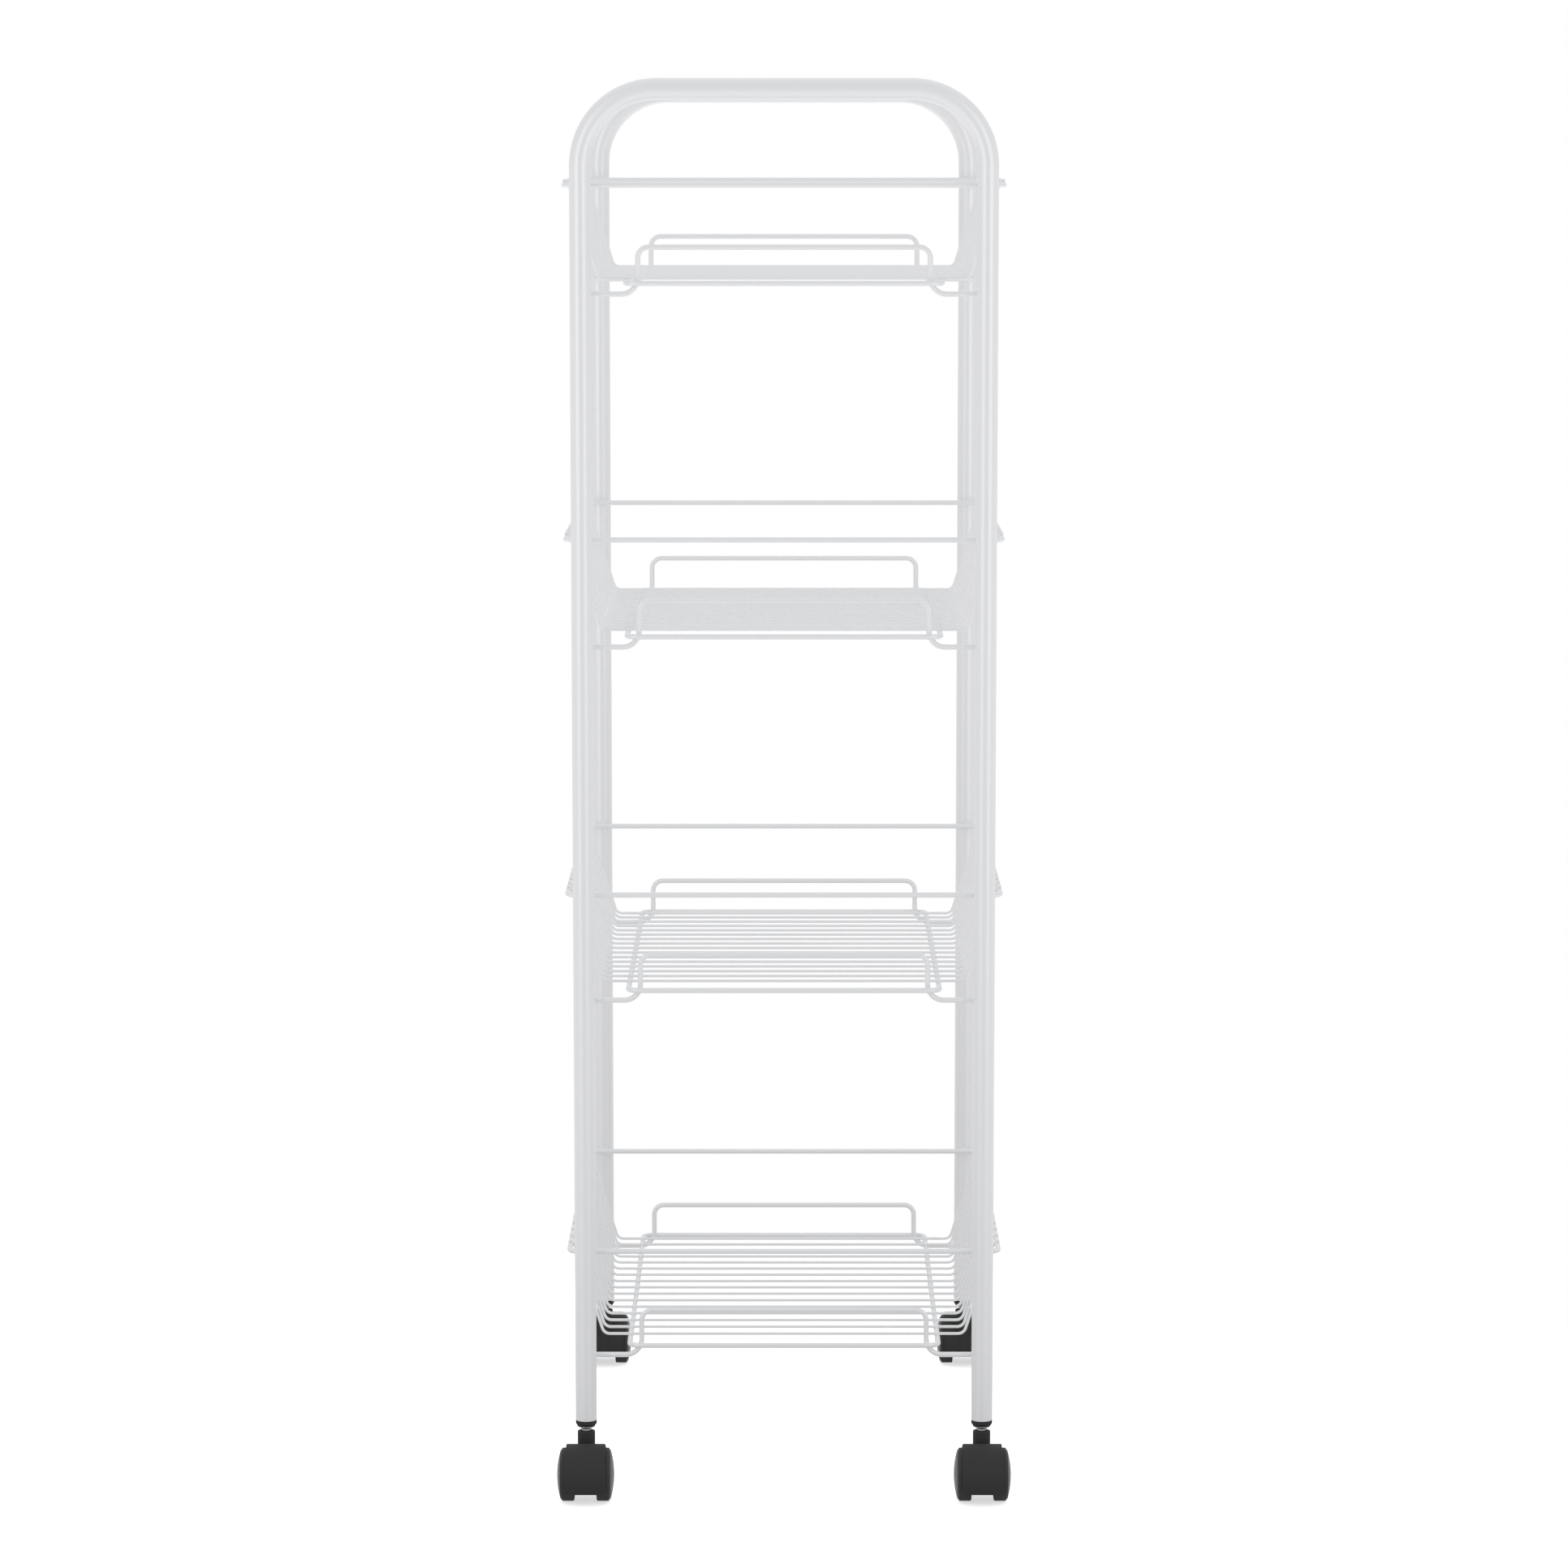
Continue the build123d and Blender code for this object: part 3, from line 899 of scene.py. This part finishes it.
class TROLLEY_OT_plugs_and_stems(Operator):
    """Builds the plugs under the posts and the plated stems of the casters"""

    bl_idname = "trolley.plugs_and_stems"
    bl_label = "Plugs and stems"

    def execute(self, context):
        settings = context.scene.trolley
        for corner in CORNERS:
            build_plug(corner, settings.casters, settings.arches)
            build_stem(corner, settings.casters)
        return {"FINISHED"}


def hood_half_width(z, sizes):
    """Half the hood's width at a height over the floor, with its lower corners rounded."""
    if z < sizes.hood_middle_z:
        rising = (z - sizes.hood_foot_z) / (sizes.hood_middle_z - sizes.hood_foot_z)
        width = sizes.hood_foot_x + rising * (sizes.hood_middle_x - sizes.hood_foot_x)
    else:
        rising = (z - sizes.hood_middle_z) / (sizes.hood_top_z - sizes.hood_middle_z)
        width = sizes.hood_middle_x + rising * (sizes.hood_top_x - sizes.hood_middle_x)
    below = max(0.0, sizes.hood_foot_z + sizes.hood_corner - z)
    return width - sizes.hood_corner + math.sqrt(max(0.0, sizes.hood_corner**2 - below**2))


def hood_rows(margin, edge):
    """(turn, inset) of the rows round a hood: rounded ends, close rows at the corners, even rows."""
    corner, close, even = 0.16, 12, 46
    ends = []
    for degrees in (90, 60, 30):
        angle = math.radians(degrees)
        ends.append((margin * (1 - math.sin(angle)), edge * (1 - math.cos(angle))))
    ends.append((margin, 0.0))
    near = [corner * (i / close) ** 1.6 for i in range(close + 1)]
    turns = near + [corner + (1 - 2 * corner) * i / even for i in range(1, even)]
    turns += [1 - turn for turn in reversed(near)]
    rows = ends + [(turn, 0.0) for turn in turns if margin <= turn <= 1 - margin]
    return rows + [(1 - turn, inset) for turn, inset in reversed(ends)]


def hood_cover(form, axle_y, axle_z, sizes):
    """The curved cover over both wheels: a shell round the axle with rounded edges."""
    edge = sizes.hood_edge
    outer, inner = sizes.hood_radius, sizes.hood_radius - sizes.hood_wall
    foot = axle_z - sizes.hood_foot_z
    drop = math.asin(foot / outer)
    loops = []
    for turn, inset in hood_rows(edge / (outer * (math.pi + 2 * drop)), edge):
        loop = []
        corner = max(edge - inset, 0.02 * MM)
        z_out = axle_z + outer * math.sin(-drop + turn * (math.pi + 2 * drop))
        width = hood_half_width(z_out, sizes) - inset - corner
        for quarter, (side, level) in enumerate(((1, 1), (-1, 1), (-1, -1), (1, -1))):
            for i in range(5):
                angle = math.radians(90 * quarter + 90 * i / 4)
                centre = outer - inset - corner if level > 0 else inner + inset + corner
                reach = centre + corner * math.sin(angle)
                lowest = -math.asin(foot / reach)
                around = lowest + turn * (math.pi - 2 * lowest)
                y, z = axle_y + reach * math.cos(around), axle_z + reach * math.sin(around)
                loop.append(Vector((side * width + corner * math.cos(angle), y, z)))
        loops.append(loop)
    tips = [[sum(loop, Vector()) / len(loop)] for loop in (loops[0], loops[-1])]
    form.skin([tips[0]] + loops + [tips[1]])


def hood_web(form, axle_y, axle_z, sizes):
    """The web between the wheels, flat below, with the boss that carries the axle."""
    radius = sizes.hood_radius - sizes.hood_wall / 2
    drop = math.asin((axle_z - sizes.hood_foot_z) / radius)
    outline = []
    for i in range(41):
        angle = -drop + (math.pi + 2 * drop) * i / 40
        outline.append((axle_y + radius * math.cos(angle), axle_z + radius * math.sin(angle)))
    form.prism(outline, -sizes.hood_web, sizes.hood_web, 0.4 * MM)
    boss = [
        (-sizes.boss_x, sizes.axle_radius, 0.0),
        (-sizes.boss_x, sizes.boss_radius, 0.4),
        (sizes.boss_x, sizes.boss_radius, 0.4),
        (sizes.boss_x, sizes.axle_radius, 0.0),
        (-sizes.boss_x, sizes.axle_radius, 0.0),
    ]
    form.turn(rounded_outline(boss), "X", 48, (0.0, axle_y, axle_z), closed=True)


def build_hood(corner, sizes):
    """The swivelling moulding: cover, web, axle boss and stem socket."""
    node = f"{corner}_hood"
    stem, axle = middle(f"{corner}_stem"), middle(f"{corner}_axle")
    form = Form()
    hood_cover(form, axle.y - stem.y, axle.z, sizes)
    hood_web(form, axle.y - stem.y, axle.z, sizes)
    foot, top, wall = sizes.socket_foot_z, sizes.socket_top_z, sizes.socket_radius
    bore_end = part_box(f"{corner}_stem")[0].z - 0.4 * MM
    socket = [
        (foot, 0.0, 0.0),
        (foot, wall, 0.6),
        (top, wall, 0.55),
        (top, sizes.socket_mouth, 0.15),
        (top - sizes.socket_sink, sizes.socket_bore, 0.1),
        (bore_end, sizes.socket_bore, 0.0),
        (bore_end, 0.0, 0.0),
    ]
    form.turn(rounded_outline(socket), "Z", sizes.sides)
    form.piece(node, f"{corner}_caster", "hood_plastic", [node], (stem.x, stem.y, 0.0))


def build_axle(corner, sizes):
    """The drawn axle with a snap groove near each end."""
    node = f"{corner}_axle"
    reach, radius = half_size(node).x, sizes.axle_radius
    groove, bottom = sizes.axle_groove_x, radius - sizes.axle_groove_depth
    groove_end = groove + sizes.axle_groove_width
    half = [
        (groove, radius, 0.1),
        (groove, bottom, 0.1),
        (groove_end, bottom, 0.1),
        (groove_end, radius, 0.1),
        (reach, radius, 0.4),
        (reach, 0.0, 0.0),
    ]
    outline = [(-along, across, rounding) for along, across, rounding in reversed(half)] + half
    form = Form()
    form.turn(rounded_outline(outline), "X", 40)
    form.piece(node, f"{corner}_caster", "axle_steel", [node], middle(node))


class TROLLEY_OT_hoods(Operator):
    """Builds the casters' hoods and axles"""

    bl_idname = "trolley.hoods"
    bl_label = "Hoods and axles"

    def execute(self, context):
        for corner in CORNERS:
            build_hood(corner, context.scene.trolley.casters)
            build_axle(corner, context.scene.trolley.casters)
        return {"FINISHED"}


def build_wheel(corner, side, sizes):
    """One wheel: rounded tread, web with ribs on its inner side, and hub."""
    node = f"{corner}_{side}_wheel"
    centre = middle(f"{corner}_axle")
    out = 1 if side == "right" else -1
    inner, outer, radius = sizes.wheel_inner_x, sizes.wheel_outer_x, sizes.wheel_radius
    rim = radius - sizes.tread_depth
    tread_edge = sizes.tread_edge / MM
    outline = [
        (inner, sizes.axle_radius, 0.0),
        (outer, sizes.axle_radius, 0.0),
        (outer, radius, tread_edge),
        (inner, radius, tread_edge),
        (inner, rim, 0.4),
        (sizes.web_x, rim, 0.8),
        (sizes.web_x, sizes.hub_radius, 0.8),
        (inner, sizes.hub_radius, 0.4),
        (inner, sizes.axle_radius, 0.0),
    ]
    turned = [(out * along, across) for along, across in rounded_outline(outline)]
    form = Form()
    form.turn(turned, "X", sizes.sides, closed=True)
    low, high = sorted((out * (inner + 0.9 * MM), out * (sizes.web_x + 0.5 * MM)))
    half, start, end = sizes.rib_width / 2, sizes.hub_radius - 0.5 * MM, rim + 0.5 * MM
    rib = [(-half, start), (half, start), (half, end), (-half, end)]
    for i in range(sizes.ribs):
        spin = Matrix.Rotation(2 * math.pi * i / sizes.ribs, 4, "X")
        form.prism(rib, low, high, 0.25 * MM, spin)
    form.piece(node, node, "wheel_plastic", [node], centre)


def build_disc(corner, side, sizes):
    """The domed cover on a wheel's outer face, with a fine groove inside its edge."""
    node = f"{corner}_{side}_disc"
    out = 1 if side == "right" else -1
    seat, radius = sizes.wheel_outer_x, sizes.disc_radius
    edge_x, crown = seat + sizes.disc_edge, sizes.disc_crown_x
    rise = crown - edge_x
    dome = (radius**2 + rise**2) / (2 * rise)

    def height(at):
        return crown - dome + math.sqrt(dome**2 - at**2)

    lip, groove, width = sizes.disc_lip, sizes.disc_groove_radius, sizes.disc_groove_width
    outline = [(seat, 0.0), (seat, radius)]
    for i in range(5):
        angle = math.radians(90 * i / 4)
        outline.append((edge_x - lip * (1 - math.sin(angle)), radius - lip * (1 - math.cos(angle))))
    spots = [groove + width * i / 4 for i in range(8, -9, -1)]
    spots += [(groove - 2 * width) * (1 - i / 14) for i in range(1, 15)]
    for spot in spots:
        cut = sizes.disc_groove_depth * bell(spot - groove, 0.7 * width)
        outline.append((height(spot) - cut, spot))
    form = Form()
    form.turn([(out * along, across) for along, across in outline], "X", sizes.sides)
    form.piece(node, f"{corner}_{side}_wheel", "disc_plastic", [node], middle(f"{corner}_axle"))


class TROLLEY_OT_wheels(Operator):
    """Builds the casters' wheels and their cover discs"""

    bl_idname = "trolley.wheels"
    bl_label = "Wheels and discs"

    def execute(self, context):
        for corner in CORNERS:
            for side in SIDES:
                build_wheel(corner, side, context.scene.trolley.casters)
                build_disc(corner, side, context.scene.trolley.casters)
        return {"FINISHED"}


# ---------------------------------------------------------------- stage

# Places and sizes of the soft boxes in metres; those on the right have twins on the left.
OVERHEAD_Z, OVERHEAD_SIZE = 2.7, (2.6, 2.6)
SIDE_BOX = (1.15, -0.25, 0.75), (1.3, 1.7)
STRIP_BOX = (1.5, -2.1, 1.0), (0.22, 2.0)


def build_floor(stage):
    """A pale round floor that fades out before its edge and gives off a little light."""
    lift = stage.floor_lift
    recipe = material("floor", Roughness=0.85, Specular_IOR_Level=0.0, Emission_Strength=lift)
    seen = recipe.node("ShaderNodeLightPath", {}, {}, "Is Camera Ray")
    recipe.feed("Base Color", recipe.blend(seen, stage.floor_bounce, stage.floor))
    recipe.feed("Emission Color", recipe.blend(seen, stage.floor_glow, stage.floor))
    place = recipe.place()
    distance = recipe.node("ShaderNodeVectorMath", {"operation": "LENGTH"}, {0: place}, "Value")
    reach = stage.floor_radius
    fading = {0: distance, 1: 0.3 * reach, 2: 0.95 * reach}
    fade = recipe.node("ShaderNodeMapRange", {"interpolation_type": "SMOOTHSTEP"}, fading)
    recipe.show(fade, recipe.node("ShaderNodeBsdfTransparent", {}, {}))
    form = Form()
    form.turn([(0.0, reach * i / 12) for i in range(13)], "Z", 96)
    mesh = bpy.data.meshes.new("floor")
    mesh.from_pydata([tuple(point) for point in form.points], [], form.faces)
    mesh.materials.append(recipe.owner)
    floor = bpy.data.objects.new("floor", mesh)
    bpy.context.scene.collection.objects.link(floor)


def soft_box(name, at, towards, size, watts):
    """A rectangular area light at a place, turned towards a point."""
    light = bpy.data.lights.new(name, "AREA")
    light.shape = "RECTANGLE"
    light.size, light.size_y = size
    light.energy = watts
    holder = bpy.data.objects.new(name, light)
    holder.location = at
    holder.rotation_euler = (towards - Vector(at)).to_track_quat("-Z", "Y").to_euler()
    bpy.context.scene.collection.objects.link(holder)
    return holder


def even_light(stage):
    """White all round: full white where it is seen, softer as a light, and bright behind in gloss."""
    world = bpy.data.worlds.new("studio")
    bpy.context.scene.world = world
    recipe = Recipe(world, Color=(0.985, 0.992, 1.0, 1.0))
    _, behind, upward = recipe.parts(recipe.node("ShaderNodeTexCoord", {}, {}, "Generated"))
    above = recipe.rise(upward, 0.0, 0.8) * stage.fill_above
    below = recipe.rise(upward, 0.0, -0.8) * stage.fill_below
    mirrored = recipe.node("ShaderNodeLightPath", {}, {}, "Is Glossy Ray")
    back = recipe.rise(behind, 0.0, 0.6) * mirrored * stage.fill_behind
    recipe.feed("Strength", stage.fill + above + below + back)
    seen = recipe.node("ShaderNodeBackground", {}, {"Color": (1.0, 1.0, 1.0, 1.0)})
    recipe.show(recipe.node("ShaderNodeLightPath", {}, {}, "Is Camera Ray"), seen)


class TROLLEY_OT_stage(Operator):
    """Makes the floor, the soft lights and the camera"""

    bl_idname = "trolley.stage"
    bl_label = "Stage"

    def execute(self, context):
        stage = context.scene.trolley.stage
        build_floor(stage)
        even_light(stage)
        centre = (CAD_BOX[0] + CAD_BOX[1]) / 2
        soft_box("overhead", (0.0, 0.0, OVERHEAD_Z), Vector(), OVERHEAD_SIZE, stage.overhead)
        for side, out in zip(SIDES, (-1, 1)):
            (x, y, z), size = SIDE_BOX
            soft_box(f"side_{side}", (out * x, y, z), centre, size, stage.side)
            (x, y, z), size = STRIP_BOX
            strip = soft_box(f"strip_{side}", (out * x, y, z), centre, size, stage.strip)
            strip.visible_diffuse = False
        camera = bpy.data.cameras.new("camera")
        camera.lens = stage.lens
        camera.sensor_width = 36.0
        camera.dof.use_dof = False
        holder = bpy.data.objects.new("camera", camera)
        holder.location = (0.0, middle("front_arch").y - stage.camera_distance, stage.camera_height)
        holder.rotation_euler = (math.pi / 2 - stage.camera_pitch, 0.0, 0.0)
        bpy.context.scene.collection.objects.link(holder)
        bpy.context.scene.camera = holder
        bpy.context.scene.view_settings.view_transform = "Standard"
        return {"FINISHED"}


# ---------------------------------------------------------------- panel and registering

OPERATORS = (
    TROLLEY_OT_arches,
    TROLLEY_OT_rings_and_rails,
    TROLLEY_OT_floor_wires,
    TROLLEY_OT_welds,
    TROLLEY_OT_plugs_and_stems,
    TROLLEY_OT_hoods,
    TROLLEY_OT_wheels,
    TROLLEY_OT_stage,
)
GROUPS = (ArchSizes, TraySizes, WireSizes, WeldSizes, CasterSizes, Finishes, StageSettings, TrolleySettings)


class TROLLEY_PT_panel(Panel):
    """Lists the pieces of the trolley with a button for each"""

    bl_idname = "TROLLEY_PT_panel"
    bl_label = "Rolling wire trolley"
    bl_space_type = "VIEW_3D"
    bl_region_type = "UI"
    bl_category = "Trolley"

    def draw(self, context):
        for operator in OPERATORS:
            self.layout.operator(operator.bl_idname)


def register():
    for group in (*GROUPS, *OPERATORS, TROLLEY_PT_panel):
        bpy.utils.register_class(group)
    bpy.types.Scene.trolley = PointerProperty(type=TrolleySettings)


def unregister():
    del bpy.types.Scene.trolley
    for group in reversed((*GROUPS, *OPERATORS, TROLLEY_PT_panel)):
        bpy.utils.unregister_class(group)


def main():
    register()
    for operator in OPERATORS:
        family, name = operator.bl_idname.split(".")
        getattr(getattr(bpy.ops, family), name)()


if __name__ == "__main__":
    main()
